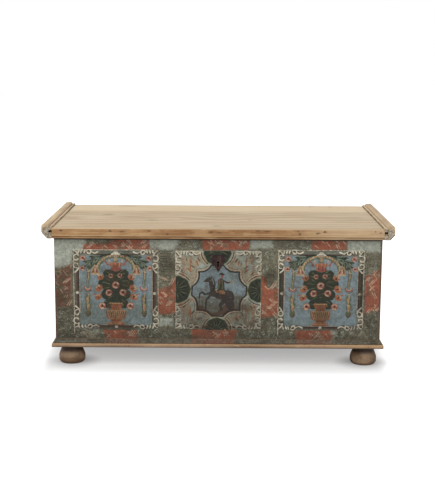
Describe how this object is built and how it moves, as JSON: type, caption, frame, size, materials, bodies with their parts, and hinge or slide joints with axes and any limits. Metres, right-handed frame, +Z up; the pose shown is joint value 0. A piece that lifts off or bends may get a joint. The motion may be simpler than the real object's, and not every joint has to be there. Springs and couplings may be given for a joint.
{
  "type": "storage chest",
  "caption": "Low painted pine chest on turned bun feet, with a hinged planked lid with moulded end cleats, strap hinges, a sliding-bolt lock and an open till inside.",
  "frame": {"origin": "on the floor, under the middle of the whole chest's box", "axes": "+X along the front to the viewer's right, +Y from the front to the back, +Z up"},
  "size_m": [1.32, 0.6754, 0.5456],
  "materials": {
    "painted_pine": "old matt paint on pine, worn and scratched, patterned on the front",
    "carcass_pine": "bare aged pine, dull",
    "lid_pine": "stripped and waxed pine, satin",
    "plinth_pine": "stripped pine, the hollow above it painted",
    "turned_wood": "turned and waxed, darkened",
    "forged_iron": "forged, dark, lightly rusted",
    "dark_iron": "forged, black-brown, worn",
    "nail_iron": "forged nails, rusted"
  },
  "bodies": {
    "carcass": {"front_board": "painted_pine", "left_end_board": "painted_pine", "right_end_board": "painted_pine", "back_board": "carcass_pine", "bottom_plank_front": "carcass_pine", "bottom_plank_middle": "carcass_pine", "bottom_plank_rear": "carcass_pine", "till_side": "carcass_pine", "till_bottom": "carcass_pine", "plinth_front": "plinth_pine", "plinth_left": "plinth_pine", "plinth_right": "plinth_pine", "feet_front": "turned_wood", "feet_rear": "turned_wood", "foot_wedges": "turned_wood", "hinge_leaf_left": "forged_iron", "hinge_leaf_right": "forged_iron", "hinge_pins": "forged_iron", "lock_plate": "forged_iron", "lock_bridge": "forged_iron", "lock_keepers": "forged_iron", "lock_spring": "forged_iron", "escutcheon": "dark_iron", "escutcheon_nails": "dark_iron", "bottom_nails": "nail_iron", "plinth_nails": "nail_iron", "hinge_leaf_nails": "nail_iron", "lock_nails": "nail_iron"},
    "lid": {"lid_plank_front": "lid_pine", "lid_plank_middle": "lid_pine", "lid_plank_rear": "lid_pine", "lid_moulding": "lid_pine", "lid_cleat_left": "lid_pine", "lid_cleat_right": "lid_pine", "moulding_nails": "nail_iron", "cleat_nails": "nail_iron", "hinge_strap_left": "forged_iron", "hinge_strap_right": "forged_iron", "hinge_strap_nails": "nail_iron", "hasp": "forged_iron", "hasp_nails": "nail_iron"},
    "lock_bolt": {"lock_bolt": "forged_iron"}
  },
  "joints": [
    {"name": "lid_hinge", "type": "hinge", "parent": "carcass", "child": "lid", "pos_m": [0, 0.3302, 0.4985], "axis": [-1, 0, 0], "range_deg": [0, 100]},
    {"name": "lock_bolt_slide", "type": "slide", "parent": "carcass", "child": "lock_bolt", "axis": [-1, 0, 0], "range_m": [0, 0.024]}
  ]
}
